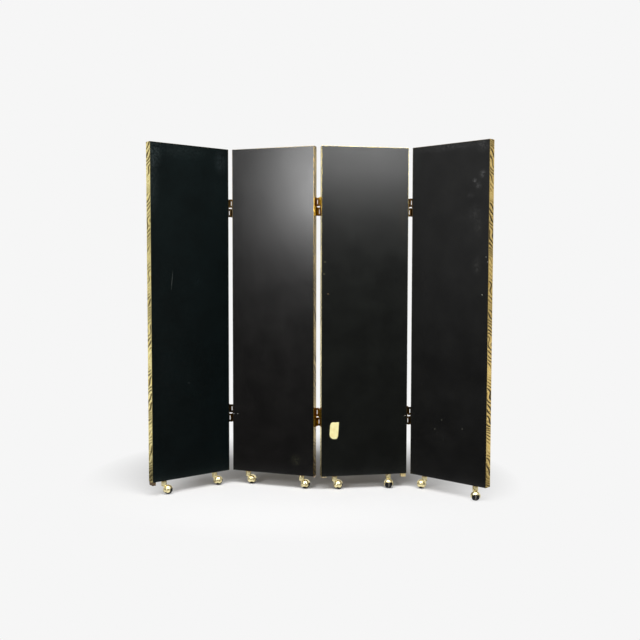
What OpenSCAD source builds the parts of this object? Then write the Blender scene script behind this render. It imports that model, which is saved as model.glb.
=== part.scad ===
// Four-panel folding screen on hooded ball casters.
// Millimetres, +Z up. The black boards face -Y. The origin is on the floor, at the middle of the screen's
// bounding box. A heading is a turn seen from above, to the left of the +X axis.

/* [Panels] */
// Height of each panel
panel_h = 1830; // [1500:10:2100]
// Width of each panel
panel_w = 492; // [400:2:600]
// Thickness of each panel, front cladding and back board included
panel_t = 44; // [38:1:56]
// Thickness of the black back board
back_t = 5; // [3:0.5:8]
// Thickness of the front cladding
front_t = 2; // [1:0.5:4]
// Thickness of the cladding strips on the edges
strip_t = 1.2; // [0.8:0.1:2]
// Gap where the top strip meets the side strips
strip_joint = 0.2; // [0.1:0.1:0.5]
// Height of the panels' bottom edge above the floor
panel_lift = 78; // [76:1:90]

/* [Plan] */
// Heading of panel 1
heading_1 = 39; // [20:0.5:60]
// Heading of panel 2
heading_2 = -19.4; // [-45:0.1:-5]
// Heading of panel 3
heading_3 = 10.1; // [0:0.1:45]
// Heading of panel 4
heading_4 = -42.3; // [-60:0.1:-20]

/* [Hinges] */
// Height of each hinge
hinge_h = 100; // [80:2:130]
// Distance from the panel's top or bottom end to the middle of a hinge
hinge_inset = 330; // [150:5:500]
// Distance from the panel's edge to the hinge pins
hinge_reach = 9.5; // [9:0.5:14]
// How far the hinge pins' axes stand out beyond the panel's faces
pin_proud = 5; // [2:0.25:7]
// Thickness of the hinge leaves
leaf_t = 2.5; // [2:0.25:3.5]
// Radius of the knuckles
knuckle_r = 4; // [3.5:0.25:5]
// Radius of the hinge pins
pin_r = 2; // [1.5:0.25:2.5]
// Radial clearance round the hinge pins
pin_gap = 0.05; // [0.02:0.01:0.1]
// Thickness of the crossed links
link_t = 3; // [2:0.25:4]
// Gap along the pin between a link and the knuckles next to it
link_gap = 0.3; // [0.2:0.1:0.6]
// Gap at mid height between the upper and the lower half of a hinge
half_gap = 7; // [4:0.5:16]
// Gap between a leaf's lip and the knuckle next to it
lip_gap = 1.5; // [0.5:0.1:2]

/* [Screws] */
// Radius of the screw shanks
screw_r = 2; // [1.5:0.25:2.5]
// Radius of the countersunk screw heads
screw_head_r = 4; // [3.25:0.25:4.5]
// Length of the screws
screw_l = 26; // [18:1:40]
// Distance from the end of a leaf to its end screws
screw_inset = 12; // [8:1:16]
// How far the screws stand off the leaf's middle line, to either side in turn
screw_stagger = 8; // [4:0.5:11]

/* [Casters] */
// Distance from each panel's left edge to the stem of its left caster
left_insets = [80, 86.5, 80, 83.5]; // [60:0.5:120]
// Distance from each panel's right edge to the stem of its right caster
right_insets = [87, 78.5, 101, 77.5]; // [60:0.5:120]
// Heading in which each panel's left caster trails
left_trails = [6, 27, 21, 132]; // [-180:1:180]
// Heading in which each panel's right caster trails
right_trails = [31, 9, -89, -96]; // [-180:1:180]
// Radius of the ball-shaped wheel
wheel_r = 25; // [23:0.5:27]
// Width of the wheel across its flat sides
wheel_w = 38; // [34:0.5:40]
// Running gap between the wheel and its hood
wheel_gap = 0.6; // [0.5:0.1:1]
// Wall of the hood
hood_wall = 1.2; // [1:0.1:2]
// Distance from the stem's axis to the wheel's middle
trail = 22; // [20:0.5:26]
// How far the direction that the hood's mouth opens in points below level
mouth_tilt = 60; // [45:1:70]
// Distance from the wheel's middle to the plane of the hood's mouth
mouth_depth = 2; // [1:0.5:10]
// Radius of the round cheeks that hold the axle
cheek_r = 13; // [8:0.5:16]
// Radius of the neck that holds the stem
neck_r = 15; // [12:0.5:16]
// Height of the neck's lower end above the floor
neck_low = 44; // [40:1:48]
// Rounding of the neck's ends
neck_round = 6; // [3:0.5:8]
// Radius of the axle
axle_r = 3; // [2:0.25:4]
// Radial clearance of the wheel on its axle
axle_gap = 0.05; // [0.02:0.01:0.1]
// Wall of the bosses that hold the axle's ends
boss_wall = 2.5; // [2:0.25:4]
// Radius of the stem
stem_r = 4; // [3:0.25:5]
// Radial clearance of the stem in its socket
stem_gap = 0.05; // [0.02:0.01:0.1]
// Height of the stem inside the panel
stem_h = 36; // [25:1:50]
// Wall of the socket sleeve
socket_wall = 1.5; // [1:0.25:2.5]
// Radius of the socket's flange
flange_r = 12; // [9:0.5:15]
// Thickness of the socket's flange
flange_t = 1.5; // [1:0.25:2.5]
// Gap between the neck and the flange that it turns under
neck_gap = 0.5; // [0.3:0.1:0.8]

/* [Hidden] */
$fn = 48;
panels = 4;
left = -1;
right = 1;
upper = 1;
lower = -1;
slack = 1; // how far a cutting shape runs past what it cuts
seat = 0.3; // depth to which a boss sinks into the shell that carries it
brass = "#c8ad5e";
black = "#17181a";
wood = "#9a7a52";
steel = "#a9acb0";

core_t = panel_t - back_t - front_t;
clad_w = panel_w - 2 * strip_t; // width between the two edge strips
clad_h = panel_h - strip_t; // height below the top strip
mid_t = panel_t / 2;
hinge_heights = [hinge_inset, panel_h - hinge_inset];

// A hinge's pins stand on both faces' sides, and each carries one half of the hinge's height
pin_side = mid_t + pin_proud;
half_h = (hinge_h - half_gap) / 2;
knuckle_h = half_h / 4;
link_h = half_h - 2 * knuckle_h - 2 * link_gap;
lip_reach = hinge_reach - knuckle_r - lip_gap;
// Half the length along which a link is as tall as its half of the hinge, clear of the knuckles' arms
web_half = pin_side - norm([leaf_t / 2, leaf_t + pin_proud]) - link_gap;
screw_rows = 4;
screw_pitch = (hinge_h - 2 * screw_inset) / (screw_rows - 1);
head_h = screw_head_r - screw_r;
slot_w = 1;
slot_depth = 0.8;

hood_inner_r = wheel_r + wheel_gap;
hood_r = hood_inner_r + hood_wall;
boss_r = axle_r + boss_wall;
boss_start = wheel_w / 2 + 0.4;
boss_end = sqrt(hood_inner_r * hood_inner_r - boss_r * boss_r) + seat;
axle_half = boss_end - 0.8;
neck_top = panel_lift - flange_t - neck_gap;
stem_low = neck_low + neck_round;
socket_r = stem_r + stem_gap + socket_wall;
socket_h = stem_h + 4;

// Plan of the panels: each hangs on the pins of the one before, on the black side at hinges 1 and 3
// and on the clad side at hinge 2
headings = [heading_1, heading_2, heading_3, heading_4];
front_left = [-hinge_reach, -pin_proud];
front_right = [panel_w + hinge_reach, -pin_proud];
rear_left = [-hinge_reach, panel_t + pin_proud];
rear_right = [panel_w + hinge_reach, panel_t + pin_proud];

function turned(p, a) = [p.x * cos(a) - p.y * sin(a), p.x * sin(a) + p.y * cos(a)];

start_2 = [0, 0];
start_1 = start_2 + turned(front_left, heading_2) - turned(front_right, heading_1);
start_3 = start_2 + turned(rear_right, heading_2) - turned(rear_left, heading_3);
start_4 = start_3 + turned(front_right, heading_3) - turned(front_left, heading_4);
starts = [start_1, start_2, start_3, start_4];

// Casters 1 to 8 from left to right, two under each panel
function caster_panel(c) = ceil(c / 2) - 1;
function is_left(c) = c % 2 == 1;
function caster_trail(c) = is_left(c) ? left_trails[caster_panel(c)] : right_trails[caster_panel(c)];
function caster_x(c) = is_left(c) ? left_insets[caster_panel(c)] : panel_w - right_insets[caster_panel(c)];
function plan_point(p, q) = starts[p] + turned(q, headings[p]);
function stem_point(c) = plan_point(caster_panel(c), [caster_x(c), mid_t]);

// Every outermost circle of the plan as [middle, radius]: panel corners, knuckles and hoods
outline = [
    for (p = [0 : panels - 1], x = [0, panel_w], y = [0, panel_t]) [plan_point(p, [x, y]), 0],
    for (p = [0 : panels - 2], q = [front_right, rear_right]) [plan_point(p, q), knuckle_r],
    for (p = [1 : panels - 1], q = [front_left, rear_left]) [plan_point(p, q), knuckle_r],
    for (c = [1 : 2 * panels]) [stem_point(c) + turned([trail, 0], caster_trail(c)), hood_r]
];
lows = [for (axis = [0, 1]) min([for (o = outline) o[0][axis] - o[1]])];
highs = [for (axis = [0, 1]) max([for (o = outline) o[0][axis] + o[1]])];
middle = (lows + highs) / 2;

// Panels
// A panel's own frame: X from its left edge, Y from its black face, Z from its bottom edge
module in_panel(p) {
    at = starts[p - 1] - middle;
    translate([at.x, at.y, panel_lift]) rotate(headings[p - 1]) children();
}

// A panel has hinges on each edge that meets another panel
function hinged_edges(p) = p == 1 ? [right] : p == panels ? [left] : [left, right];

// A hinged edge's own frame: X outwards from the edge's face, Y from mid thickness, Z from the hinge's middle.
// The left edge is the right edge turned half round, so one leaf fits both.
module at_hinges(p) {
    in_panel(p) for (edge = hinged_edges(p), z = hinge_heights)
        translate([edge == right ? panel_w : 0, mid_t, z]) rotate(edge == right ? 0 : 180) children();
}

module at_screws() {
    for (row = [0 : screw_rows - 1])
        translate([leaf_t, (row % 2 == 0 ? 1 : -1) * screw_stagger, screw_inset - hinge_h / 2 + row * screw_pitch])
            rotate([0, -90, 0]) children();
}

module socket_places(p) {
    for (x = [left_insets[p - 1], panel_w - right_insets[p - 1]]) translate([x, mid_t, 0]) children();
}

module core(p) {
    color(wood) difference() {
        in_panel(p) difference() {
            translate([strip_t, back_t, 0]) cube([clad_w, core_t, clad_h]);
            socket_places(p) translate([0, 0, -slack]) cylinder(r = socket_r, h = socket_h + slack);
        }
        at_hinges(p) at_screws() cylinder(r = screw_r, h = screw_l);
    }
}

module back_board(p) {
    color(black) in_panel(p) translate([strip_t, 0, 0]) cube([clad_w, back_t, clad_h]);
}

module front_cladding(p) {
    color(brass) in_panel(p) translate([strip_t, panel_t - front_t, 0]) cube([clad_w, front_t, clad_h]);
}

module edge_strips(p) {
    color(brass) difference() {
        in_panel(p) {
            for (x = [0, panel_w - strip_t]) translate([x, 0, 0]) cube([strip_t, panel_t, panel_h]);
            translate([strip_t + strip_joint, 0, clad_h]) cube([clad_w - 2 * strip_joint, panel_t, strip_t]);
        }
        at_hinges(p) at_screws() cylinder(r = screw_r, h = screw_l);
    }
}

module caster_sockets(p) {
    color(steel) in_panel(p) socket_places(p) difference() {
        union() {
            cylinder(r = socket_r, h = socket_h);
            translate([0, 0, -flange_t]) cylinder(r = flange_r, h = flange_t);
        }
        translate([0, 0, -flange_t - slack]) cylinder(r = stem_r + stem_gap, h = stem_h + flange_t + slack + 1);
    }
}

// Hinges
// A knuckle's two ends on one half of the hinge, each on an arm that goes out from the leaf and then along
// the panel's thickness to the pin, with a narrow lip on the leaf between the arms
module leaf_knuckle(half) {
    mirror([0, half == upper ? 0 : 1, 0])
        translate([0, mid_t - leaf_t, half == upper ? half_gap / 2 : -half_gap / 2 - half_h])
            cube([lip_reach, leaf_t, half_h]);
    for (step = [0, half_h - knuckle_h])
        translate([0, 0, half == upper ? half_gap / 2 + step : -half_gap / 2 - step - knuckle_h]) {
            translate([hinge_reach, half * pin_side, 0]) cylinder(r = knuckle_r, h = knuckle_h);
            mirror([0, half == upper ? 0 : 1, 0]) translate([0, mid_t - leaf_t, 0]) {
                cube([hinge_reach + leaf_t / 2, leaf_t, knuckle_h]);
                translate([hinge_reach - leaf_t / 2, 0, 0]) cube([leaf_t, leaf_t + pin_proud, knuckle_h]);
            }
        }
}

module pin_bores(r) {
    for (half = [upper, lower])
        translate([hinge_reach, half * pin_side, half == upper ? half_gap / 2 : -half_gap / 2 - half_h])
            translate([0, 0, -slack / 4]) cylinder(r = r, h = half_h + slack / 2);
}

module hinge_leaves(p) {
    color(brass) at_hinges(p) difference() {
        union() {
            translate([0, -mid_t, -hinge_h / 2]) cube([leaf_t, panel_t, hinge_h]);
            leaf_knuckle(upper);
            leaf_knuckle(lower);
        }
        pin_bores(pin_r + pin_gap);
        at_screws() {
            cylinder(r1 = screw_head_r, r2 = screw_r, h = head_h);
            cylinder(r = screw_r, h = leaf_t + slack);
        }
    }
}

// The upper links turn with the odd panels and the lower links with the even ones
module hinge_links(p) {
    half = p % 2 == 1 ? upper : lower;
    low = half * (half_gap + half_h) / 2 - link_h / 2;
    color(brass) at_hinges(p) translate([hinge_reach, 0, low]) difference() {
        union() {
            translate([-link_t / 2, -pin_side, 0]) cube([link_t, 2 * pin_side, link_h]);
            translate([-link_t / 2, -web_half, (link_h - half_h) / 2]) cube([link_t, 2 * web_half, half_h]);
            for (y = [-pin_side, pin_side]) translate([0, y, 0]) cylinder(r = knuckle_r, h = link_h);
        }
        for (y = [-pin_side, pin_side])
            translate([0, y, -slack]) cylinder(r = pin_r + pin_gap, h = link_h + 2 * slack);
    }
}

module hinge_pins(p) {
    color(steel) at_hinges(p) for (half = [upper, lower])
        translate([hinge_reach, half * pin_side, half == upper ? half_gap / 2 : -half_gap / 2 - half_h])
            cylinder(r = pin_r, h = half_h);
}

module hinge_screws(p) {
    color(brass) at_hinges(p) at_screws() difference() {
        union() {
            cylinder(r1 = screw_head_r, r2 = screw_r, h = head_h);
            cylinder(r = screw_r, h = screw_l);
        }
        translate([-screw_head_r, -slot_w / 2, -slack]) cube([2 * screw_head_r, slot_w, slack + slot_depth]);
    }
}

// Casters
// A caster's own frame: Z is the stem's axis, from the floor, and the wheel trails along X
module in_caster(c) {
    at = stem_point(c) - middle;
    translate([at.x, at.y, 0]) rotate(caster_trail(c)) children();
}

module at_wheel() {
    translate([trail, 0, wheel_r]) children();
}

module across(r, h) {
    rotate([90, 0, 0]) cylinder(r = r, h = h, center = true);
}

module rounded_post(r, h, rounding) {
    rotate_extrude() {
        square([r - rounding, h]);
        translate([0, rounding]) square([r, h - 2 * rounding]);
        for (y = [rounding, h - rounding]) translate([r - rounding, y]) circle(rounding);
    }
}

// The space behind the plane of the hood's mouth, and the round cheeks in front of it
module hood_cover() {
    reach = hood_r + slack;
    rotate([0, mouth_tilt, 0]) translate([-reach, -reach, -reach]) cube([reach + mouth_depth, 2 * reach, 2 * reach]);
    across(cheek_r, 2 * reach);
}

module caster_hood(c) {
    color(brass) in_caster(c) difference() {
        union() {
            difference() {
                union() {
                    at_wheel() intersection() {
                        sphere(hood_r);
                        hood_cover();
                    }
                    translate([0, 0, neck_low]) rounded_post(neck_r, neck_top - neck_low, neck_round);
                }
                at_wheel() sphere(hood_inner_r);
            }
            at_wheel() for (side = [left, right])
                translate([0, side * (boss_start + boss_end) / 2, 0]) across(boss_r, boss_end - boss_start);
        }
        at_wheel() across(axle_r, 2 * axle_half);
        translate([0, 0, stem_low]) cylinder(r = stem_r, h = neck_top - stem_low + slack);
    }
}

module caster_stem_and_axle(c) {
    color(steel) in_caster(c) {
        translate([0, 0, stem_low]) cylinder(r = stem_r, h = panel_lift + stem_h - stem_low);
        at_wheel() across(axle_r, 2 * axle_half);
    }
}

module caster_wheel(c) {
    color(black) in_caster(c) at_wheel() rotate([90, 0, 0]) rotate_extrude() intersection() {
        circle(wheel_r);
        translate([axle_r + axle_gap, -wheel_w / 2]) square([wheel_r, wheel_w]);
    }
}

core(1);  // panel_1_core
back_board(1);  // panel_1_back_board
front_cladding(1);  // panel_1_front_cladding
edge_strips(1);  // panel_1_edge_strips
caster_sockets(1);  // panel_1_caster_sockets
hinge_leaves(1);  // panel_1_hinge_leaves
hinge_links(1);  // panel_1_hinge_links
hinge_pins(1);  // panel_1_hinge_pins
hinge_screws(1);  // panel_1_hinge_screws
core(2);  // panel_2_core
back_board(2);  // panel_2_back_board
front_cladding(2);  // panel_2_front_cladding
edge_strips(2);  // panel_2_edge_strips
caster_sockets(2);  // panel_2_caster_sockets
hinge_leaves(2);  // panel_2_hinge_leaves
hinge_links(2);  // panel_2_hinge_links
hinge_pins(2);  // panel_2_hinge_pins
hinge_screws(2);  // panel_2_hinge_screws
core(3);  // panel_3_core
back_board(3);  // panel_3_back_board
front_cladding(3);  // panel_3_front_cladding
edge_strips(3);  // panel_3_edge_strips
caster_sockets(3);  // panel_3_caster_sockets
hinge_leaves(3);  // panel_3_hinge_leaves
hinge_links(3);  // panel_3_hinge_links
hinge_pins(3);  // panel_3_hinge_pins
hinge_screws(3);  // panel_3_hinge_screws
core(4);  // panel_4_core
back_board(4);  // panel_4_back_board
front_cladding(4);  // panel_4_front_cladding
edge_strips(4);  // panel_4_edge_strips
caster_sockets(4);  // panel_4_caster_sockets
hinge_leaves(4);  // panel_4_hinge_leaves
hinge_links(4);  // panel_4_hinge_links
hinge_pins(4);  // panel_4_hinge_pins
hinge_screws(4);  // panel_4_hinge_screws
caster_hood(1);  // caster_1_hood
caster_stem_and_axle(1);  // caster_1_stem_and_axle
caster_wheel(1);  // caster_1_wheel
caster_hood(2);  // caster_2_hood
caster_stem_and_axle(2);  // caster_2_stem_and_axle
caster_wheel(2);  // caster_2_wheel
caster_hood(3);  // caster_3_hood
caster_stem_and_axle(3);  // caster_3_stem_and_axle
caster_wheel(3);  // caster_3_wheel
caster_hood(4);  // caster_4_hood
caster_stem_and_axle(4);  // caster_4_stem_and_axle
caster_wheel(4);  // caster_4_wheel
caster_hood(5);  // caster_5_hood
caster_stem_and_axle(5);  // caster_5_stem_and_axle
caster_wheel(5);  // caster_5_wheel
caster_hood(6);  // caster_6_hood
caster_stem_and_axle(6);  // caster_6_stem_and_axle
caster_wheel(6);  // caster_6_wheel
caster_hood(7);  // caster_7_hood
caster_stem_and_axle(7);  // caster_7_stem_and_axle
caster_wheel(7);  // caster_7_wheel
caster_hood(8);  // caster_8_hood
caster_stem_and_axle(8);  // caster_8_stem_and_axle
caster_wheel(8);  // caster_8_wheel
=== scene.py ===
import math

import bpy
import numpy as np
from mathutils import Matrix


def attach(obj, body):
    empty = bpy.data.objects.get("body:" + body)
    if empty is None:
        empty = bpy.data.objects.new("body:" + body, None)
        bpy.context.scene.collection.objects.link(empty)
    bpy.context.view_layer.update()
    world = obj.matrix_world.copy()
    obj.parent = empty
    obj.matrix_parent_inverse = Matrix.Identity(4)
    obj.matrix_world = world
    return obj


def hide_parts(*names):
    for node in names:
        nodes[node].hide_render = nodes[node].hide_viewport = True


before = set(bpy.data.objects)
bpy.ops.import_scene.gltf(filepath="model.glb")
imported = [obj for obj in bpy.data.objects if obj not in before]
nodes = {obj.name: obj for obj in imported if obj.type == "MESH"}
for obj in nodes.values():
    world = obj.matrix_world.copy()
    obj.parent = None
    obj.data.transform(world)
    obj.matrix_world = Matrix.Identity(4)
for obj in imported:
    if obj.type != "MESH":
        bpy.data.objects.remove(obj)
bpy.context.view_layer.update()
mm = 0.001
print("frame loaded,", len(nodes), "nodes")


# Places: the panels' own frames and the wheels' axles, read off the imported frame

panelHeadings = {1: 39.0, 2: -19.4, 3: 10.1, 4: -42.3}  # degrees from +X, seen from above
casterNumbers = range(1, 9)


def nodePoints(name):
    mesh = nodes[name].data
    points = np.empty(len(mesh.vertices) * 3)
    mesh.vertices.foreach_get("co", points)
    return points.reshape(-1, 3)


def panelFrame(number):
    # the panel's left, black, bottom corner, and its directions along the width and through the thickness
    heading = math.radians(panelHeadings[number])
    along = np.array([math.cos(heading), math.sin(heading), 0.0])
    through = np.array([-math.sin(heading), math.cos(heading), 0.0])
    points = nodePoints(f"panel_{number}_edge_strips")
    own = np.array([points @ along, points @ through, points[:, 2]])
    lows, highs = own.min(axis=1), own.max(axis=1)
    corner = lows[0] * along + lows[1] * through + np.array([0, 0, lows[2]])
    width, thickness, height = highs - lows
    return dict(number=number, heading=heading, corner=corner, along=along, through=through,
                width=width, thickness=thickness, height=height)


panels = {number: panelFrame(number) for number in panelHeadings}


def inPanel(panel, u, v, z):
    # world points of panel coordinates: u along the width, v from the black face, z from the bottom edge
    u, v, z = np.broadcast_arrays(u, v, z)
    return (panel["corner"] + u[..., None] * panel["along"] + v[..., None] * panel["through"]
            + z[..., None] * np.array([0.0, 0.0, 1.0]))


def wheelPlace(number):
    # a wheel's middle and the heading of its axle, the level direction in which its points spread least
    points = nodePoints(f"caster_{number}_wheel")
    middle = (points.min(axis=0) + points.max(axis=0)) / 2
    flat = points[:, :2] - middle[:2]
    axle = np.linalg.eigh(flat.T @ flat)[1][:, 0]
    return middle, math.atan2(axle[1], axle[0])


# Meshes

def signedVolume(points, quads):
    # sum over the faces' triangles of a . (b x c) / 6, positive when the faces point outwards
    a, b, c, d = (points[quads[:, k]] for k in range(4))
    return (np.einsum("ij,ij->i", a, np.cross(b, c)) + np.einsum("ij,ij->i", a, np.cross(c, d))).sum() / 6


def loopSurface(name, rings, material, groove=None, sharp=40):
    # rings (m, n, 3): m closed rings of n points, joined ring to ring, with the first and last ring filled;
    # edges steeper than sharp, in degrees, stay crisp
    count, around = rings.shape[:2]
    points = rings.reshape(-1, 3)
    i, j = np.meshgrid(np.arange(count - 1), np.arange(around), indexing="ij")
    nextJ = (j + 1) % around
    corners = [i * around + j, i * around + nextJ, (i + 1) * around + nextJ, (i + 1) * around + j]
    quads = np.stack(corners, axis=-1).reshape(-1, 4)
    first, last = list(range(around)), list(range((count - 1) * around, count * around))
    if signedVolume(points - points.mean(axis=0), quads) < 0:
        faces = quads[:, ::-1].tolist() + [first, last[::-1]]
    else:
        faces = quads.tolist() + [first[::-1], last]
    mesh = bpy.data.meshes.new(name)
    mesh.from_pydata(points, [], faces)
    mesh.shade_smooth()
    mesh.set_sharp_from_angle(angle=math.radians(sharp))
    if groove is not None:
        depths = mesh.attributes.new("groove", "FLOAT", "POINT").data
        depths.foreach_set("value", groove.astype(np.float32).ravel())
    mesh.materials.append(material)
    mesh.update()
    piece = bpy.data.objects.new(name, mesh)
    bpy.context.scene.collection.objects.link(piece)
    return piece


# Materials: lengths in metres, noise scales per metre

def newMaterial(name, **settings):
    # settings are sockets of the shader, with _ for a space
    material = bpy.data.materials.new(name)
    material.use_nodes = True
    shader = material.node_tree.nodes["Principled BSDF"]
    for socket, value in settings.items():
        shader.inputs[socket.replace("_", " ")].default_value = value
    return material, material.node_tree, shader


def add(tree, kind, inputs=None, **settings):
    # a node with its settings, and its inputs given as values or as the sockets that feed them
    node = tree.nodes.new(kind)
    for key, value in settings.items():
        setattr(node, key, value)
    for key, value in (inputs or {}).items():
        if isinstance(value, bpy.types.NodeSocket):
            tree.links.new(value, node.inputs[key])
        else:
            node.inputs[key].default_value = value
    return node


def finishShader(tree, shader, colour, roughness, normal):
    for name, socket in (("Base Color", colour), ("Roughness", roughness), ("Normal", normal)):
        tree.links.new(socket, shader.inputs[name])


def objectPlace(tree):
    return add(tree, "ShaderNodeTexCoord").outputs["Object"]


def mapped(tree, vector, kind="POINT", **settings):
    # POINT scales and then moves the pattern's coordinates; TEXTURE gives coordinates in a frame of its own
    return add(tree, "ShaderNodeMapping", {"Vector": vector, **settings}, vector_type=kind).outputs[0]


def localPlace(tree, place, turn=0.0):
    # coordinates centred on a place and turned to a heading
    return mapped(tree, objectPlace(tree), "TEXTURE", Location=tuple(place), Rotation=(0, 0, turn))


def noise(tree, vector, scale, detail=3.0, roughness=0.55):
    inputs = {"Vector": vector, "Scale": scale, "Detail": detail, "Roughness": roughness}
    return add(tree, "ShaderNodeTexNoise", inputs).outputs["Fac"]


def spread(tree, value, fromLow, fromHigh, toLow=0.0, toHigh=1.0):
    # a range stretched to another one, and held at its ends
    inputs = {"Value": value, "From Min": fromLow, "From Max": fromHigh, "To Min": toLow, "To Max": toHigh}
    return add(tree, "ShaderNodeMapRange", inputs).outputs[0]


def maths(tree, operation, a, b=0.0):
    return add(tree, "ShaderNodeMath", {0: a, 1: b}, operation=operation).outputs[0]


def plus(tree, a, b):
    return maths(tree, "ADD", a, b)


def times(tree, a, b):
    return maths(tree, "MULTIPLY", a, b)


def less(tree, a, b):
    return maths(tree, "SUBTRACT", a, b)


def mixColour(tree, factor, a, b):
    # colours are sockets or three numbers; inputs 0, 6 and 7 are the factor and the two colours
    node = add(tree, "ShaderNodeMix", data_type="RGBA")
    for key, value in ((0, factor), (6, a), (7, b)):
        if isinstance(value, bpy.types.NodeSocket):
            tree.links.new(value, node.inputs[key])
        else:
            node.inputs[key].default_value = value if key == 0 else (*value, 1.0)
    return node.outputs[2]


def bump(tree, height, strength, distance):
    inputs = {"Height": height, "Strength": strength, "Distance": distance}
    return add(tree, "ShaderNodeBump", inputs).outputs[0]


boardLook = {
    # each board's black is its own copy, lighter, darker and tinted as painted light and shade, the first
    # board's darkest and greenish
    "colour": {1: (0.0006, 0.0018, 0.0020), 2: (0.0032, 0.0029, 0.0027), 3: (0.0033, 0.0038, 0.0031),
               4: (0.0036, 0.0036, 0.0034)},
    "sheen": {1: (0.80, 1.0, 0.97, 1.0)},  # the first board's paint has a greener gloss
    "plainSheen": (1, 1, 1, 1),
    "cloud": 1.9,  # how much lighter the cloudy blotches are
    "shift": (2.3, 0.0, 3.7),  # the pattern moves on by this from board to board
    "blotches": dict(scale=6.0, detail=5, roughness=0.6),
    "blotchRange": (0.38, 0.72),
    "streaks": dict(scale=110.0, detail=3),
    "streakScale": (1.0, 1.0, 0.05),
    "roughness": 0.25,
    "roughnessSpread": 0.03,
    "roughShares": (0.6, 0.4),  # of blotches and streaks
    "roughRange": (0.3, 0.7),
    "hazeAndSheen": dict(scale=70.0, detail=7, roughness=0.75),
    "hazeAndSheenRange": (0.42, 0.66, 0.0, 2.2),
    "rag": dict(scale=160.0),
    "ragRange": (0.35, 0.6, 0.4, 1.6),
    "markRim": (0.05, 0.45),
    "waves": dict(scale=4.0, detail=1),
    "waveBump": (0.12, 0.0015),
}

# Marks on the black boards: panel, middle (mm from the left edge, mm above the bottom edge), half sizes in
# mm, lean in degrees, colour and strength
boardMarks = [
    (2, (6, 327), (5, 2.2), 0, (0.30, 0.30, 0.29), 0.9),
    (2, (30, 328), (5, 2.2), 0, (0.30, 0.30, 0.29), 0.9),
    (3, (481, 331), (5, 2.5), 0, (0.34, 0.31, 0.26), 0.9),
    (3, (19, 1195), (3, 3.5), 0, (0.22, 0.20, 0.12), 0.8),
    (3, (13, 1129), (3, 3.5), 0, (0.22, 0.20, 0.12), 0.8),
    (3, (36, 1019), (3.5, 4), 0, (0.25, 0.16, 0.08), 0.8),
    (4, (476, 1220), (4, 4), 0, (0.20, 0.20, 0.18), 0.7),
    (4, (487, 1194), (4, 4), 0, (0.20, 0.20, 0.18), 0.8),
    (4, (455, 1021), (4, 5), 0, (0.24, 0.24, 0.20), 0.8),
    (4, (210, 331), (3.5, 3.5), 0, (0.14, 0.14, 0.11), 0.7),
    (4, (166, 276), (3.5, 3.5), 0, (0.14, 0.14, 0.11), 0.7),
    (4, (341, 297), (4, 3.5), 0, (0.14, 0.14, 0.11), 0.7),
    (1, (127, 1092), (2.0, 60), 5.5, (0.07, 0.075, 0.07), 0.7),
    (1, (228, 525), (5, 5), 0, (0.04, 0.045, 0.045), 0.5),
]

# Hazy, cloudy patches in the same terms: on the first board a painted sheen, a broad lighter stretch on the
# left and a greenish glow along the top and at the upper corners; on the others lighter and brownish hazy
# patches
boardHazesAndSheen = [
    # first board: painted sheen, a broad lighter stretch on the left and a greenish glow at the top
    (1, (60, 650), (420, 1250), 0, (0.010, 0.0105, 0.0095), 0.22),
    (1, (8, 1765), (70, 95), 0, (0.13, 0.16, 0.16), 0.12),
    (1, (6, 1600), (50, 190), 0, (0.13, 0.16, 0.16), 0.075),
    (1, (440, 1752), (50, 80), 0, (0.11, 0.14, 0.15), 0.085),
    (1, (190, 1800), (190, 60), 0, (0.10, 0.13, 0.13), 0.06),
    (2, (386, 86), (36, 40), 0, (0.07, 0.07, 0.04), 0.22),
    (3, (458, 1450), (20, 150), 0, (0.05, 0.036, 0.012), 0.20),
    (4, (402, 1622), (17, 14), 0, (0.15, 0.15, 0.15), 0.42),
    (4, (449, 1654), (22, 28), 15, (0.15, 0.15, 0.15), 0.20),
    (4, (424, 1594), (30, 24), 0, (0.13, 0.13, 0.13), 0.14),
    (4, (380, 1545), (26, 18), 0, (0.12, 0.12, 0.12), 0.09),
    (4, (406, 1451), (52, 60), 0, (0.12, 0.12, 0.12), 0.085),
    (4, (430, 1375), (30, 60), 0, (0.12, 0.12, 0.11), 0.07),
    (4, (420, 1173), (30, 60), 0, (0.10, 0.10, 0.09), 0.12),
    (4, (449, 1800), (46, 40), 0, (0.13, 0.13, 0.13), 0.15),
    (4, (225, 1812), (250, 30), 0, (0.10, 0.10, 0.10), 0.13),
    (4, (20, 1740), (50, 110), 0, (0.06, 0.08, 0.07), 0.06),
]


def markSpot(tree, place, middle, half, lean):
    # 1 at a mark's middle, falling evenly to 0 at its rim
    own = mapped(tree, place, "TEXTURE", Location=(middle[0] * mm, 0, middle[1] * mm),
                 Rotation=(0, math.radians(lean), 0), Scale=(half[0] * mm, 1, half[1] * mm))
    return add(tree, "ShaderNodeTexGradient", {"Vector": own}, gradient_type="SPHERICAL").outputs["Fac"]


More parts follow.
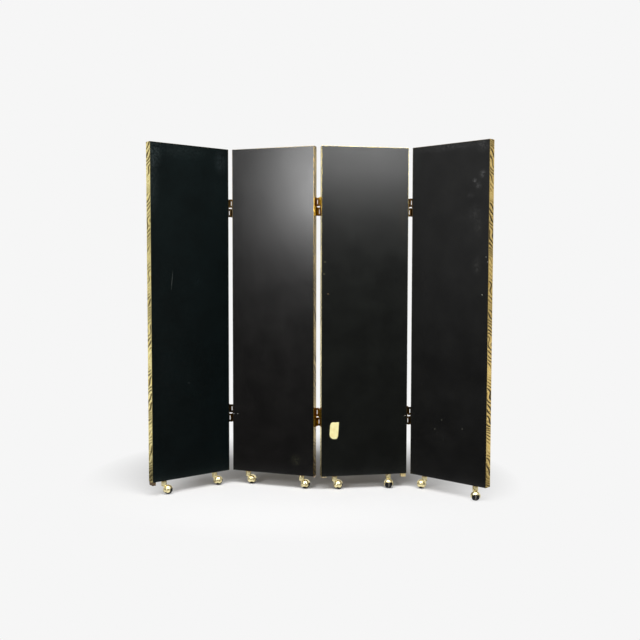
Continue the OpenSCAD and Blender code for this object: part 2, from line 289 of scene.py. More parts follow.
def boardMaterial(number, look):
    # satin black paint on board: cloudy blotches, fine upright brush streaks, slow waves, its own marks and
    # hazy patches, and on the first board a painted sheen
    panel = panels[number]
    sheen = look["sheen"].get(number, look["plainSheen"])
    material, tree, shader = newMaterial(f"blackBoard{number}", Specular_Tint=sheen)
    place = localPlace(tree, panel["corner"], panel["heading"])
    drawn = mapped(tree, place, Location=tuple(number * shift for shift in look["shift"]))
    blotches = noise(tree, drawn, **look["blotches"])
    streaks = noise(tree, mapped(tree, drawn, Scale=look["streakScale"]), **look["streaks"])
    base = look["colour"][number]
    lighter = tuple(c * look["cloud"] for c in base)
    colour = mixColour(tree, spread(tree, blotches, *look["blotchRange"]), base, lighter)
    clouds = spread(tree, noise(tree, drawn, **look["hazeAndSheen"]), *look["hazeAndSheenRange"])
    # hazy patches, and on the first board a painted sheen, each under a cloudy noise
    for hazePanel, middle, half, lean, hazeAndSheenColour, strength in boardHazesAndSheen:
        if hazePanel == number:
            spot = times(tree, markSpot(tree, place, middle, half, lean), clouds)
            colour = mixColour(tree, times(tree, spot, strength), colour, hazeAndSheenColour)
    rag = spread(tree, noise(tree, drawn, **look["rag"]), *look["ragRange"])
    for markPanel, middle, half, lean, markColour, strength in boardMarks:
        if markPanel == number:
            spot = times(tree, markSpot(tree, place, middle, half, lean), rag)
            cover = times(tree, spread(tree, spot, *look["markRim"]), strength)
            colour = mixColour(tree, cover, colour, markColour)
    blotchShare, streakShare = look["roughShares"]
    uneven = plus(tree, times(tree, blotches, blotchShare), times(tree, streaks, streakShare))
    smoothest = look["roughness"] - look["roughnessSpread"]
    roughest = look["roughness"] + look["roughnessSpread"]
    rough = spread(tree, uneven, *look["roughRange"], smoothest, roughest)
    waves = noise(tree, drawn, **look["waves"])
    finishShader(tree, shader, colour, rough, bump(tree, waves, *look["waveBump"]))
    return material


brassLook = {
    "bright": (1.0, 0.84, 0.32),
    "warm": (0.66, 0.47, 0.12),
    "groove": (0.10, 0.062, 0.008),
    "paintedHighlight": (1.0, 0.91, 0.46),  # painted highlight beside the strokes
    # tarnish in layers: noise, how far it is drawn out upwards, and the range over which it sets in, with its
    # strength at the two ends
    "layers": {
        "patches": (dict(scale=9.0, detail=5), 1.0, (0.40, 0.75, 0.0, 0.5)),
        "mottle": (dict(scale=90.0, detail=4), 0.4, (0.50, 0.66, 0.0, 0.8)),
        "fine": (dict(scale=420.0, detail=4), 0.18, (0.50, 0.75, 0.0, 0.35)),
        "pits": (dict(scale=150.0, detail=3), 0.6, (0.60, 0.70, 0.0, 0.7)),
    },
    "highlightRise": (0.02, 0.10),  # groove depths over which the painted highlight beside the strokes comes and goes
    "highlightFall": (0.30, 0.14),
    "grooveRange": (0.30, 0.85),
    "grooveGrain": 0.3,
    "roughShares": (0.6, 0.5),  # of groove and patches
    "roughRange": (0.2, 0.9),
    "roughness": (0.22, 0.48),
    "fineBump": (0.35, 0.0006),
}


def etchedBrass(name, look, tint=(1, 1, 1), grooveShade=1.0, grooveDark=0.97):
    # sheet brass with an etched pattern and a painted highlight beside the strokes: the groove attribute is 0
    # on the ridges and 1 down in a groove
    material, tree, shader = newMaterial(name, Metallic=1.0)
    place = objectPlace(tree)
    groove = add(tree, "ShaderNodeAttribute", attribute_name="groove").outputs["Fac"]
    face, warm, paintedHighlight = (tuple(c * t for c, t in zip(look[key], tint)) for key in ("bright", "warm", "paintedHighlight"))
    dark = tuple(c * grooveShade for c in look["groove"])
    grain = {}
    for key, (pattern, stretch, setsIn) in look["layers"].items():
        grain[key] = noise(tree, mapped(tree, place, Scale=(1, 1, stretch)), **pattern)
        face = mixColour(tree, spread(tree, grain[key], *setsIn), face, dark if key == "pits" else warm)
    # a painted highlight, a bright band on the flat just beside each stroke
    paintedHighlightCover = times(tree, spread(tree, groove, *look["highlightRise"]), spread(tree, groove, *look["highlightFall"]))
    face = mixColour(tree, paintedHighlightCover, face, paintedHighlight)
    ragged = plus(tree, groove, times(tree, grain["fine"], look["grooveGrain"]))
    depth = times(tree, spread(tree, ragged, *look["grooveRange"]), grooveDark)
    grooveShare, patchShare = look["roughShares"]
    uneven = plus(tree, times(tree, groove, grooveShare), times(tree, grain["patches"], patchShare))
    rough = spread(tree, uneven, *look["roughRange"], *look["roughness"])
    colour = mixColour(tree, depth, face, dark)
    finishShader(tree, shader, colour, rough, bump(tree, grain["fine"], *look["fineBump"]))
    return material


# Small brass parts: the patina sets in over the amount's range of a noise of that scale, outer is a painted
# shade, the dark colour that the metal turns to away from the middle of the screen, where the hinges sit back
# in the folds, and rim tints it where it is seen at a flat angle
hingeLook = dict(bright=(0.62, 0.37, 0.04), patina=(0.15, 0.065, 0.005), roughness=(0.22, 0.5),
                 outer=(0.075, 0.045, 0.015), rim=(0.55, 0.32, 0.06))
screwLook = dict(bright=(0.66, 0.48, 0.22), patina=(0.16, 0.09, 0.03), roughness=(0.2, 0.45), scale=160.0)
casterLook = dict(bright=(0.97, 0.86, 0.50), patina=(0.42, 0.32, 0.11), roughness=(0.22, 0.34),
                  amount=(0.47, 0.72), scale=75.0)
patinaLook = {
    "patches": dict(detail=5, roughness=0.6), "roughRange": (0.35, 0.7),
    "scratches": dict(scale=900.0, detail=2), "scratchStretch": (1, 1, 0.12),
    "scratchRough": 0.08, "scratchHeight": 0.4,
    "paintedShadeRange": (0.15, 0.40),  # m from the middle of the screen, over which the painted shade sets in
    "bump": (0.2, 0.0004),
}


def agedBrass(name, bright, patina, roughness, amount=(0.42, 0.62), scale=70.0, outer=None, rim=(1, 1, 1)):
    # bright metal under patches of brown patina, finely scratched
    material, tree, shader = newMaterial(name, Metallic=1.0, Specular_Tint=(*rim, 1.0))
    place = objectPlace(tree)
    look = patinaLook
    patches = noise(tree, place, scale, **look["patches"])
    scratches = noise(tree, mapped(tree, place, Scale=look["scratchStretch"]), **look["scratches"])
    metal = bright
    # painted shade: the metal darkens away from the middle of the screen
    if outer:
        side = maths(tree, "ABSOLUTE", add(tree, "ShaderNodeSeparateXYZ", {"Vector": place}).outputs["X"])
        metal = mixColour(tree, spread(tree, side, *look["paintedShadeRange"]), bright, outer)
    colour = mixColour(tree, spread(tree, patches, *amount), metal, patina)
    smooth = spread(tree, patches, *look["roughRange"], *roughness)
    rough = plus(tree, smooth, times(tree, scratches, look["scratchRough"]))
    height = plus(tree, patches, times(tree, scratches, look["scratchHeight"]))
    finishShader(tree, shader, colour, rough, bump(tree, height, *look["bump"]))
    return material


steelLook = {
    "pale": (0.56, 0.56, 0.57), "brown": (0.33, 0.30, 0.27),
    "grain": dict(scale=600.0, detail=3), "grainStretch": (1, 1, 0.1),
    "spots": dict(scale=120.0, detail=4), "spotRange": (0.45, 0.7),
    "roughness": (0.3, 0.7, 0.24, 0.42), "bump": (0.2, 0.0003),
}


def steelMaterial(look):
    # brushed steel with dull spots
    material, tree, shader = newMaterial("brushedSteel", Metallic=1.0)
    place = objectPlace(tree)
    grain = noise(tree, mapped(tree, place, Scale=look["grainStretch"]), **look["grain"])
    spots = spread(tree, noise(tree, place, **look["spots"]), *look["spotRange"])
    finishShader(tree, shader, mixColour(tree, spots, look["pale"], look["brown"]),
                 spread(tree, grain, *look["roughness"]), bump(tree, grain, *look["bump"]))
    return material


woodLook = {
    "pale": (0.36, 0.22, 0.11), "brown": (0.20, 0.11, 0.05), "pore": (0.08, 0.04, 0.02),
    "grain": dict(scale=160.0, detail=6), "grainStretch": (0.12, 1, 0.12), "grainRange": (0.35, 0.65),
    "pores": dict(scale=900.0, detail=2), "poreStretch": (0.05, 1, 0.05), "poreRange": (0.55, 0.7, 0, 0.6),
    "roughness": (0.3, 0.7, 0.6, 0.8), "bump": (0.4, 0.0005),
}


def woodMaterial(look):
    # bare core board: long pale and brown grain lines with dark pores
    material, tree, shader = newMaterial("bareWood")
    place = objectPlace(tree)
    grain = noise(tree, mapped(tree, place, Scale=look["grainStretch"]), **look["grain"])
    pores = noise(tree, mapped(tree, place, Scale=look["poreStretch"]), **look["pores"])
    colour = mixColour(tree, spread(tree, grain, *look["grainRange"]), look["pale"], look["brown"])
    colour = mixColour(tree, spread(tree, pores, *look["poreRange"]), colour, look["pore"])
    finishShader(tree, shader, colour, spread(tree, grain, *look["roughness"]),
                 bump(tree, plus(tree, grain, pores), *look["bump"]))
    return material


wheelLook = {
    "black": (0.003, 0.003, 0.003), "bandGrey": (0.15, 0.14, 0.12),
    "gloss": 0.2,
    "cloud": dict(scale=220.0, detail=4), "ragged": 0.006,
    "band": (8.5 * mm, 4.5 * mm),  # from the middle of the tread, the lighter grey band ends over this width
    "bandCover": (0.3, 0.65, 1.0, 0.45),
    "roughness": (0, 1, 0.50, 0.8), "bump": (0.15, 0.0004),
}


def wheelMaterial(number, look):
    # black rubber with a lighter grey band round the middle of the tread
    middle, axleHeading = wheelPlace(number)
    material, tree, shader = newMaterial(f"wheelRubber{number}", Specular_IOR_Level=look["gloss"])
    own = localPlace(tree, middle, axleHeading)
    across = add(tree, "ShaderNodeSeparateXYZ", {"Vector": own}).outputs["X"]
    cloud = noise(tree, own, **look["cloud"])
    edge = plus(tree, maths(tree, "ABSOLUTE", across), times(tree, cloud, look["ragged"]))
    greyBand = times(tree, spread(tree, edge, *look["band"]), spread(tree, cloud, *look["bandCover"]))
    finishShader(tree, shader, mixColour(tree, greyBand, look["black"], look["bandGrey"]),
                 spread(tree, greyBand, *look["roughness"]), bump(tree, cloud, *look["bump"]))
    return material


paperLook = {
    "cream": (0.87, 0.82, 0.42), "dirty": (0.81, 0.70, 0.31), "fibre": (0.64, 0.57, 0.29),
    "cloud": dict(scale=45.0, detail=5), "cloudRange": (0.38, 0.66),
    "fibres": dict(scale=700.0, detail=3), "fibreRange": (0.55, 0.8, 0, 0.35), "fibreHeight": 0.3,
    "roughness": (0.3, 0.7, 0.55, 0.8), "bump": (0.5, 0.0006),
}


def paperMaterial(look):
    # blank cream paper, thicker in places and a little dirty
    material, tree, shader = newMaterial("creamPaper")
    place = objectPlace(tree)
    cloud, fibres = noise(tree, place, **look["cloud"]), noise(tree, place, **look["fibres"])
    colour = mixColour(tree, spread(tree, cloud, *look["cloudRange"]), look["cream"], look["dirty"])
    colour = mixColour(tree, spread(tree, fibres, *look["fibreRange"]), colour, look["fibre"])
    height = plus(tree, cloud, times(tree, fibres, look["fibreHeight"]))
    finishShader(tree, shader, colour, spread(tree, cloud, *look["roughness"]),
                 bump(tree, height, *look["bump"]))
    return material


blockFinish = {
    "cloud": dict(scale=90.0, detail=5), "cloudRange": (0.35, 0.65),
    "roughness": (0.3, 0.7, 0.45, 0.75), "bump": (0.5, 0.0008),
}


def blockMaterial(name, light, dark):
    # cloudy between two colours, with an uneven surface
    material, tree, shader = newMaterial(name)
    cloud = noise(tree, objectPlace(tree), **blockFinish["cloud"])
    colour = mixColour(tree, spread(tree, cloud, *blockFinish["cloudRange"]), light, dark)
    finishShader(tree, shader, colour, spread(tree, cloud, *blockFinish["roughness"]),
                 bump(tree, cloud, *blockFinish["bump"]))
    return material


hingeBrass = agedBrass("agedHingeBrass", **hingeLook)
screwBrass = agedBrass("screwBrass", **screwLook)
casterBrass = agedBrass("polishedCasterBrass", **casterLook)
steel = steelMaterial(steelLook)
wood = woodMaterial(woodLook)
print("materials ready")


def dress(name, material):
    slots = nodes[name].material_slots
    if not len(slots):
        nodes[name].data.materials.append(material)
    for slot in slots:
        slot.material = material


for number in panels:
    dress(f"panel_{number}_back_board", boardMaterial(number, boardLook))
    dress(f"panel_{number}_core", wood)
    dress(f"panel_{number}_caster_sockets", steel)
    dress(f"panel_{number}_hinge_pins", steel)
    dress(f"panel_{number}_hinge_leaves", hingeBrass)
    dress(f"panel_{number}_hinge_links", hingeBrass)
    dress(f"panel_{number}_hinge_screws", screwBrass)
for number in casterNumbers:
    dress(f"caster_{number}_hood", casterBrass)
    dress(f"caster_{number}_stem_and_axle", steel)
    dress(f"caster_{number}_wheel", wheelMaterial(number, wheelLook))
print("frame nodes dressed")


# Etched brass on the edges: a rope-like pattern of leaning strokes with plainer stretches between

stripLook = {
    "thickness": 1.2 * mm,
    "joint": 0.2 * mm,  # gap between the top strip and the side strips
    "depth": 0.9 * mm,
    "rounding": 0.35 * mm,  # how far the long edges draw in, over the width
    "roundingWidth": 1.2 * mm,
    "strokePitch": 25 * mm,
    "lean": 1.15,  # how many pitches a stroke climbs over the panel's thickness
    "sharpness": 1.7,
    "secondPitches": 1.9, "secondLean": 1.7, "secondSharpness": 4, "secondDepth": 0.45,
    # slow waves, as length in m and height in pitches: they bend the strokes, bow them and make them fainter
    "bendWaves": ((0.31, 0.9), (0.137, 0.5), (0.071, 0.22)),
    "bowWaves": ((0.23, 0.5), (0.11, 0.3)),
    "weightWaves": ((0.47, 0.28), (0.19, 0.22), (0.083, 0.12)),
    "weight": 0.78, "leastWeight": 0.25,
    "border": 0.10, "borderDepth": 0.35,  # share of the width over which the strokes fade, and to what depth
    "across": 26,  # grid columns over the thickness
    "step": 3.2 * mm,  # grid step along the strip
    # per panel, the strip brass and its grooves are lightened, darkened and tinted as painted light and shade,
    # the second panel's, beside the narrow gaps, darkest
    "paintedShadeTints": {1: (1, 1, 1), 2: (0.40, 0.34, 0.27), 3: (0.92, 0.90, 0.85), 4: (0.84, 0.70, 0.52)},
    "paintedGrooveShades": {1: 1.1, 2: 0.3, 3: 0.6, 4: 0.32},
    "seeds": {"left": 1, "right": 31, "top": 61}, "seedPerPanel": 100,
}


def waveSum(x, seed, waves):
    # sum of sines of the given lengths and heights, with phases drawn from the seed
    phases = np.random.default_rng(seed).uniform(0, 2 * np.pi, len(waves))
    return sum(height * np.sin(2 * np.pi * x / length + phase)
               for (length, height), phase in zip(waves, phases))


def ripple(phase, sharpness):
    # 1 where the phase is whole, 0 half way between, and the narrower the sharper
    return (0.5 + 0.5 * np.cos(2 * np.pi * phase)) ** sharpness


def ropeGroove(across, along, seed, look):
    # groove depth 0..1: a ridge profile of the phase along / pitch + lean * across, bent by slow waves, and
    # weighed by a slow wave that leaves plainer stretches
    bend = waveSum(along, seed, look["bendWaves"])
    bow = waveSum(along, seed + 1, look["bowWaves"]) * (across - 0.5) ** 2
    phase = along / look["strokePitch"] + look["lean"] * across + bend + bow
    stroke = ripple(phase, look["sharpness"])
    secondPhase = phase * look["secondPitches"] - look["secondLean"] * across
    second = ripple(secondPhase, look["secondSharpness"]) * look["secondDepth"]
    weight = np.clip(look["weight"] + waveSum(along, seed + 2, look["weightWaves"]), look["leastWeight"], 1)
    border = np.clip(np.minimum(across, 1 - across) / look["border"], 0, 1)
    fade = look["borderDepth"] + (1 - look["borderDepth"]) * border
    return np.clip(np.maximum(stroke, second), 0, 1) * weight * fade


def brassStrip(name, panel, side, material, seed, look):
    # a thin bar whose outer face is the surface (across, along) pushed in by the groove depth; the top one
    # lies between the two side ones
    inset = look["thickness"] + look["joint"]
    start, end = (inset, panel["width"] - inset) if side == "top" else (0.0, panel["height"])
    rows = int((end - start) / look["step"])
    across = np.linspace(0, 1, look["across"])[None, :]
    along = np.linspace(start, end, rows)[:, None]
    groove = ropeGroove(across, along, seed, look)
    fromEdge = np.minimum(across, 1 - across) * panel["thickness"] / look["roundingWidth"]
    outer = look["depth"] * groove + look["rounding"] * (1 - np.clip(fromEdge, 0, 1)) ** 2
    back = np.full((rows, 1), look["thickness"])
    depth = np.hstack([outer, back, back])
    spine = along * np.ones_like(depth)
    v = np.hstack([across * np.ones((rows, 1)), np.ones((rows, 1)), np.zeros((rows, 1))]) * panel["thickness"]
    if side == "top":
        u, z = spine, panel["height"] - depth
    else:
        u, z = depth if side == "left" else panel["width"] - depth, spine
    shade = np.hstack([groove, np.zeros((rows, 2))])
    piece = loopSurface(name, inPanel(panel, u, v, z), material, shade)
    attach(piece, f"panel_{panel['number']}")
    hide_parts(f"panel_{panel['number']}_edge_strips")


for number, panel in panels.items():
    # each panel's strips get a copy of the brass with its own painted shade
    tint, grooveShade = stripLook["paintedShadeTints"][number], stripLook["paintedGrooveShades"][number]
    brass = etchedBrass(f"etchedEdgeBrass{number}", brassLook, tint, grooveShade)
    for side, seed in stripLook["seeds"].items():
        seed += stripLook["seedPerPanel"] * number
        brassStrip(f"panel_{number}_{side}_strip", panel, side, brass, seed, stripLook)
print("edge strips built")


# Etched brass on the clad side: flowing upright grain with a few knots

grainLook = {
    "thickness": 2.0 * mm,
    "depth": 1.3 * mm,
    "below": 0.2 * mm,  # how far the ridges stay under the panel's face
    "pitch": 17 * mm,
    "columnStep": 2.6 * mm,
    "rowStep": 6.5 * mm,
    "crisp": 60,  # degrees
    # slow waves that sway the lines, as length in m and height in pitches
    "swayWaves": ((1.9, 1.3), (0.83, 0.55), (0.41, 0.2)),
    "slantWaves": ((0.95, 0.5), (0.37, 0.16)), "slant": 2,
    "sharpness": 1.7, "finePitches": 3, "fineSharpness": 3, "fineDepth": 0.3,
    "knots": 4,
    # ranges that a knot is drawn from: place over the width and over its own share of the height, half width
    # and half height in m, and hill in pitches
    "knotAcross": (0.18, 0.82), "knotUp": (0.25, 0.75),
    "knotHalfWidth": (0.045, 0.075), "knotHalfHeight": (0.16, 0.26), "knotHill": (3.0, 4.6),
    "tint": (1.0, 0.88, 0.95), "grooveShade": 0.9, "grooveDark": 0.85,
    "seed": 700,
}


def grainGroove(u, z, width, height, seed, look):
    # groove depth 0..1 of contour lines: the phase u / pitch swayed by long waves, with a hill added round
    # each knot, so that the lines part and close into ovals there
    draw = np.random.default_rng(seed)
    upright = waveSum(z, seed + 5, look["swayWaves"])
    slanting = waveSum(u * look["slant"] + z, seed + 6, look["slantWaves"])
    phase = u / look["pitch"] + (upright + slanting)
    for knot in range(look["knots"]):
        knotU = draw.uniform(*look["knotAcross"]) * width
        knotZ = (knot + draw.uniform(*look["knotUp"])) / look["knots"] * height
        halfWidth, halfHeight = draw.uniform(*look["knotHalfWidth"]), draw.uniform(*look["knotHalfHeight"])
        hill = draw.uniform(*look["knotHill"]) * (1 if draw.uniform() < 0.5 else -1)
        phase = phase + hill * np.exp(-((u - knotU) / halfWidth) ** 2 - ((z - knotZ) / halfHeight) ** 2)
    line = ripple(phase, look["sharpness"])
    fine = ripple(phase * look["finePitches"], look["fineSharpness"]) * look["fineDepth"]
    return np.clip(np.maximum(line, fine), 0, 1)


def cladSheet(name, panel, material, seed, look):
    # a thin slab whose outer face is the surface (u, z) pushed in by the groove depth
    inset = stripLook["thickness"]
    width, height = panel["width"] - 2 * inset, panel["height"] - inset
    columns, rows = int(width / look["columnStep"]), int(height / look["rowStep"])
    u = np.linspace(inset, inset + width, columns)[None, :]
    z = np.linspace(0, height, rows)[:, None]
    groove = grainGroove(u, z, width, height, seed, look)
    outer = panel["thickness"] - look["depth"] * groove - look["below"]
    inner = np.full((rows, 1), panel["thickness"] - look["thickness"])
    v = np.hstack([outer, inner, inner])
    allU = np.hstack([u * np.ones((rows, 1)), np.full((rows, 1), inset + width), np.full((rows, 1), inset)])
    shade = np.hstack([groove, np.zeros((rows, 2))])
    piece = loopSurface(name, inPanel(panel, allU, v, z * np.ones_like(v)), material, shade, look["crisp"])
    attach(piece, f"panel_{panel['number']}")
    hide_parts(f"panel_{panel['number']}_front_cladding")


cladBrass = etchedBrass("etchedFrontBrass", brassLook, grainLook["tint"], grainLook["grooveShade"],
                        grainLook["grooveDark"])
for number, panel in panels.items():
    cladSheet(f"panel_{number}_clad_sheet", panel, cladBrass, grainLook["seed"] + number, grainLook)
print("clad sheets built")


# The blank cream patch on the third panel

patchLook = {
    "panel": 3,
    # heights above the bottom edge, with the left and right side's distances from the left edge, in mm
    "rows": [(210.0, 66.0, 84.0), (212.5, 61.0, 88.5), (217.0, 55.5, 92.0), (224.0, 49.5, 94.5),
             (232.0, 46.8, 95.6), (250.0, 47.6, 96.8), (270.0, 49.0, 98.0), (288.0, 50.2, 99.2),
             (296.0, 52.6, 100.0), (301.0, 56.0, 100.4), (303.5, 61.0, 99.4), (304.6, 67.0, 97.0)],
    "thickness": 0.35 * mm,
    "rimShare": 0.35,  # of the thickness, at the rim
    "across": 15, "up": 40,  # grid
    "rimAcross": 8, "rimUp": 12,  # one over the share of the width and height in which the rim thins out
    "dipAt": 79 * mm, "dipHalfWidth": 6 * mm, "dipDepth": 2.2 * mm,  # a shallow notch in the top side
    "dipFrom": 296 * mm, "dipOver": 8 * mm,
    "ripple": 0.25, "ripplesAcross": 160, "ripplesUp": 130,  # radians per m
}


def creamPatch(panel, look):
    # each row runs from its left to its right side, bulging a little off the board, with thin edges
    rows = np.array(look["rows"]) * mm
    heights = np.linspace(rows[0, 0], rows[-1, 0], look["up"])[:, None]
    left, right = np.interp(heights, rows[:, 0], rows[:, 1]), np.interp(heights, rows[:, 0], rows[:, 2])
    s, t = np.linspace(0, 1, look["across"])[None, :], np.linspace(0, 1, look["up"])[:, None]
    u = left + (right - left) * s
    nearTop = np.clip((heights - look["dipFrom"]) / look["dipOver"], 0, 1)
    z = heights - look["dipDepth"] * np.exp(-((u - look["dipAt"]) / look["dipHalfWidth"]) ** 2) * nearTop
    rim = (np.minimum(np.minimum(s, 1 - s) * look["rimAcross"], 1)
           * np.minimum(np.minimum(t, 1 - t) * look["rimUp"], 1))
    uneven = 1 + look["ripple"] * np.sin(u * look["ripplesAcross"]) * np.cos(z * look["ripplesUp"])
    lift = look["thickness"] * (look["rimShare"] + (1 - look["rimShare"]) * rim) * uneven
    front, rear = inPanel(panel, u, -lift, z), inPanel(panel, u, np.zeros_like(lift), z)
    return np.concatenate([front, rear[:, ::-1]], axis=1)


patchRings = creamPatch(panels[patchLook["panel"]], patchLook)
patch = loopSurface("panel_3_blank_patch", patchRings, paperMaterial(paperLook))
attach(patch, "panel_3")
print("patch built")


# Small blocks and the strips' lower ends under panel corners: ranges in mm from the panel's left, black,
# bottom corner, edge radius in mm, and the material with its two colours

blocks = {
    # the two corner blocks are one kind of brass clip in painted light and shade: the third panel's pale as
    # lit brass, the first panel's dark brown as brass in shade
    "panel_3_corner_block": dict(panel=3, u=(463, 490), v=(7, 35), z=(-20, 0.2), edge=2.0, look=(
        "litPaleBlock", (0.80, 0.66, 0.34), (0.62, 0.46, 0.20))),
    "panel_1_corner_block": dict(panel=1, u=(0.6, 21), v=(2, 41), z=(-19, 0.2), edge=2.5, look=(
        "shadedBrownBlock", (0.16, 0.10, 0.035), (0.05, 0.028, 0.010))),
    "panel_3_strip_end": dict(panel=3, u=(0.3, 30), v=(0.8, 3.2), z=(-7, 0.2), edge=0.8, look=(
        "dullStripEnd", (0.42, 0.35, 0.20), (0.20, 0.15, 0.08))),
    "panel_2_strip_end": dict(panel=2, u=(489.4, 491.8), v=(6, 40), z=(-8, 0.2), edge=0.8, look=(
        "dullStripEnd2", (0.50, 0.38, 0.28), (0.25, 0.17, 0.10))),
}
blockShape = {
    "around": 48, "levels": 6,  # grid
    "crisp": 55,  # degrees
    "roundedFrom": 0.2,  # angle at which the rounding of the lower end starts, in radians
    "straightFrom": 1.3,  # edge radii above the lower end
    "wobble": 0.25 * mm, "wobblesAround": 5, "wobblesUp": 400,
    "wobbleWay": (0.6, 0.4),  # shares along the width and through the thickness
}


def roundedBlock(panel, block, look):
    # rings of a rounded rectangle stacked in height; near the lower end they draw in along a quarter circle
    (u0, u1), (v0, v1), (z0, z1) = (np.array(block[k]) * mm for k in "uvz")
    edge = block["edge"] * mm
    halfU, halfV = (u1 - u0) / 2 - edge, (v1 - v0) / 2 - edge
    angles = np.linspace(0, 2 * np.pi, look["around"], endpoint=False)
    bends = np.linspace(look["roundedFrom"], math.pi / 2, look["levels"])
    straight = np.linspace(z0 + edge * look["straightFrom"], z1, look["levels"])
    levels = np.hstack([z0, z0 + edge * (1 - np.cos(bends)), straight])[:, None]
    radius = np.hstack([0.0, edge * np.sin(bends), np.full(look["levels"], edge)])[:, None]
    u = (u0 + u1) / 2 + np.sign(np.cos(angles)) * halfU + radius * np.cos(angles)
    v = (v0 + v1) / 2 + np.sign(np.sin(angles)) * halfV + radius * np.sin(angles)
    wobble = look["wobble"] * np.sin(look["wobblesAround"] * angles + look["wobblesUp"] * levels)
    alongShare, throughShare = look["wobbleWay"]
    return inPanel(panel, u + alongShare * wobble, v + throughShare * wobble, levels)


for name, block in blocks.items():
    rings = roundedBlock(panels[block["panel"]], block, blockShape)
    piece = loopSurface(name, rings, blockMaterial(*block["look"]), sharp=blockShape["crisp"])
    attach(piece, f"panel_{block['panel']}")
print("corner blocks built")


# Stage: a pale floor that takes the shadow near the screen and fades to the white ground round it

stageLook = {
    "ground": 0.9216,  # the photograph's ground, as light
    "albedo": 0.84,
    "mirroredReach": (0.20, 0.34),  # distance over which the floor dims in gloss
    "mirroredFront": 0.06,  # share of the floor's light that gloss shows of the dim studio side in front
    "frontFrom": (0.40, 0.10),  # over this stretch of Y, towards the camera, the dim part starts
    "besideFrom": (0.80, 0.95),  # over this distance to the right of the middle, it starts further in front
    "besideShift": 0.30,
    "halfSize": 14.0,
    "middle": (-0.10, 0.40, 0.0),
    "depthShare": 1.0,  # the lit part is an oval, this much longer in depth than in width
    "keepNear": 0.60,  # to this distance the floor is a lit surface
    "fadeFar": 1.30,  # from this distance it is plain ground
}
white = (1, 1, 1, 1)


def offGloss(tree, path):
    # 1 for rays off gloss and through glass
    return maths(tree, "MAXIMUM", path["Is Glossy Ray"], path["Is Transmission Ray"])


def stageFloor(look):
    half = look["halfSize"]
    mesh = bpy.data.meshes.new("floor")
    corners = [(-half, -half, 0), (half, -half, 0), (half, half, 0), (-half, half, 0)]
    mesh.from_pydata(corners, [], [(0, 1, 2, 3)])
    floor = bpy.data.objects.new("floor", mesh)
    bpy.context.scene.collection.objects.link(floor)
    material = bpy.data.materials.new("paleFloor")
    material.use_nodes = True
    tree = material.node_tree
    tree.nodes.clear()
    where = objectPlace(tree)
    place = add(tree, "ShaderNodeSeparateXYZ", {"Vector": where}).outputs
    path = add(tree, "ShaderNodeLightPath").outputs
    # gloss shows the lit floor close by and beside the screen, and the dim studio floor further in front
    reach = times(tree, spread(tree, path["Ray Length"], *look["mirroredReach"]), path["Is Glossy Ray"])
    beside = spread(tree, place["X"], *look["besideFrom"], 0.0, look["besideShift"])
    front = times(tree, spread(tree, plus(tree, place["Y"], beside), *look["frontFrom"]), reach)
    bright, dim = (look["albedo"],) * 3, (look["albedo"] * look["mirroredFront"],) * 3
    lit = add(tree, "ShaderNodeBsdfDiffuse", {"Color": mixColour(tree, front, bright, dim)}).outputs[0]
    light = times(tree, spread(tree, front, 0, 1, 1.0, look["mirroredFront"]), look["ground"])
    ground = add(tree, "ShaderNodeEmission", {"Color": white, "Strength": light}).outputs[0]
    oval = mapped(tree, where, "TEXTURE", Location=look["middle"], Scale=(1, look["depthShare"], 1))
    distance = add(tree, "ShaderNodeVectorMath", {0: oval}, operation="LENGTH").outputs["Value"]
    seen = maths(tree, "MAXIMUM", path["Is Camera Ray"], offGloss(tree, path))
    far = times(tree, spread(tree, distance, look["keepNear"], look["fadeFar"]), seen)
    mixed = add(tree, "ShaderNodeMixShader", {0: far, 1: lit, 2: ground}).outputs[0]
    tree.links.new(mixed, add(tree, "ShaderNodeOutputMaterial").inputs["Surface"])
    mesh.materials.append(material)


stageFloor(stageLook)


# Light: two soft boxes in front and one above, a dim studio behind the camera, a white wall behind the screen

boardPoint = (0.0, 0.1, 1.70)  # high on the boards
floorPoint = (0.0, 0.5, 0.0)  # on the floor, behind the screen
softBoxes = {  # angles in degrees seen from the point, distances in m
    "leftBox": dict(seenFrom=boardPoint, azimuth=-34.5, low=0.4, high=13.0, halfWidth=7.0, distance=4.6,
                    radiance=17.0),
    "rightBox": dict(seenFrom=boardPoint, azimuth=27.0, low=7.0, high=17.0, halfWidth=10.0, distance=4.6,
                     radiance=7.6),
    "mainBox": dict(seenFrom=floorPoint, azimuth=-4.0, low=52.0, high=73.0, halfWidth=28.0, distance=5.2,
                    radiance=7.5),
}


def softBox(name, look):
    # a square lamp that spans the given elevations and azimuths seen from a point; 0 is straight in front
    middle = math.radians((look["low"] + look["high"]) / 2)
    turn = math.radians(look["azimuth"])
    tall = 2 * look["distance"] * math.tan(math.radians((look["high"] - look["low"]) / 2))
    wide = 2 * look["distance"] * math.tan(math.radians(look["halfWidth"]))
    lamp = bpy.data.lights.new(name, "AREA")
    lamp.shape = "RECTANGLE"
    lamp.size, lamp.size_y = wide, tall
    lamp.energy = look["radiance"] * wide * tall * math.pi
    lampObject = bpy.data.objects.new(name, lamp)
    bpy.context.scene.collection.objects.link(lampObject)
    away = np.array([math.sin(turn) * math.cos(middle), -math.cos(turn) * math.cos(middle), math.sin(middle)])
    lampObject.location = np.array(look["seenFrom"]) + look["distance"] * away
    lampObject.rotation_euler = (math.pi / 2 - middle, 0, turn)


for name, look in softBoxes.items():
    softBox(name, look)

# What gloss shows, by the ray's direction: +Y is behind the screen, -X to the left
worldLook = {
    "fill": 0.150,  # light from all round
    "leftStudio": 0.33, "rightStudio": 0.115,  # beside and behind the camera
    "leftEnds": (-0.95, -0.62),
    "lowShare": 0.18,  # of that, below the horizon
    "horizon": (-0.12, 0.05),
    "overhead": 0.85,
    "overheadFrom": (0.28, 0.50),
    "wall": 0.92,
    "wallFrom": (-0.1, 0.3),
    "wallFoot": (-0.25, 0.15), "wallFootShare": 0.45,
}


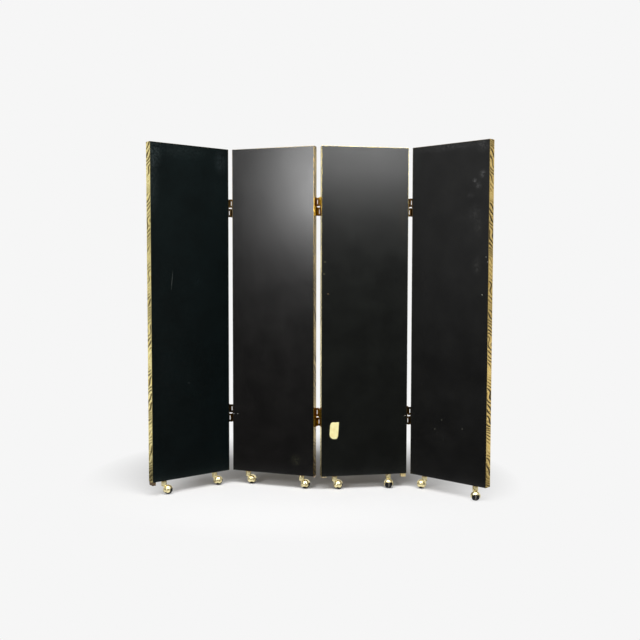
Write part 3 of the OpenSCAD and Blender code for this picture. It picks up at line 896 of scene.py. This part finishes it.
def studioWorld(look):
    world = bpy.data.worlds.new("studio")
    bpy.context.scene.world = world
    world.use_nodes = True
    tree = world.node_tree
    tree.nodes.clear()
    ray = add(tree, "ShaderNodeTexCoord").outputs["Generated"]
    direction = add(tree, "ShaderNodeSeparateXYZ", {"Vector": ray}).outputs
    sides = spread(tree, direction["X"], *look["leftEnds"], look["leftStudio"], look["rightStudio"])
    studio = times(tree, sides, spread(tree, direction["Z"], *look["horizon"], look["lowShare"], 1.0))
    overhead = times(tree, spread(tree, direction["Z"], *look["overheadFrom"]), look["overhead"])
    studio = maths(tree, "MAXIMUM", studio, overhead)
    behind = spread(tree, direction["Y"], *look["wallFrom"])
    foot = spread(tree, direction["Z"], *look["wallFoot"], look["wallFootShare"], 1.0)
    wall = times(tree, foot, look["wall"])
    room = plus(tree, times(tree, wall, behind), times(tree, studio, less(tree, 1.0, behind)))
    path = add(tree, "ShaderNodeLightPath").outputs
    # only gloss that is seen straight shows the room, so that the brass throws no brown light on the floor
    straight = maths(tree, "LESS_THAN", path["Diffuse Depth"], 0.5)
    indirect = times(tree, straight, offGloss(tree, path))
    mirrored = plus(tree, times(tree, room, indirect), times(tree, less(tree, 1.0, indirect), look["fill"]))
    seen = path["Is Camera Ray"]
    strength = plus(tree, times(tree, mirrored, less(tree, 1.0, seen)),
                    times(tree, seen, stageLook["ground"]))
    back = add(tree, "ShaderNodeBackground", {"Color": white, "Strength": strength}).outputs[0]
    tree.links.new(back, add(tree, "ShaderNodeOutputWorld").inputs["Surface"])


studioWorld(worldLook)
bpy.context.scene.view_settings.view_transform = "Standard"
print("stage and light set")


# Camera, from the four black faces' corners in the photograph: angles in degrees, place in m

cameraLook = {"place": (0.0023, -4.7014, 1.2127), "lens": 48.13, "sensor": 36.0, "clipEnd": 100.0,
              "down": 3.145, "right": 0.112, "roll": 0.115}
camera = bpy.data.objects.new("camera", bpy.data.cameras.new("camera"))
bpy.context.scene.collection.objects.link(camera)
camera.data.lens = cameraLook["lens"]
camera.data.sensor_width = cameraLook["sensor"]
camera.data.clip_end = cameraLook["clipEnd"]
camera.matrix_world = (Matrix.Translation(cameraLook["place"])
                       @ Matrix.Rotation(math.radians(-cameraLook["right"]), 4, "Z")
                       @ Matrix.Rotation(math.radians(90 - cameraLook["down"]), 4, "X")
                       @ Matrix.Rotation(math.radians(cameraLook["roll"]), 4, "Z"))
bpy.context.scene.camera = camera
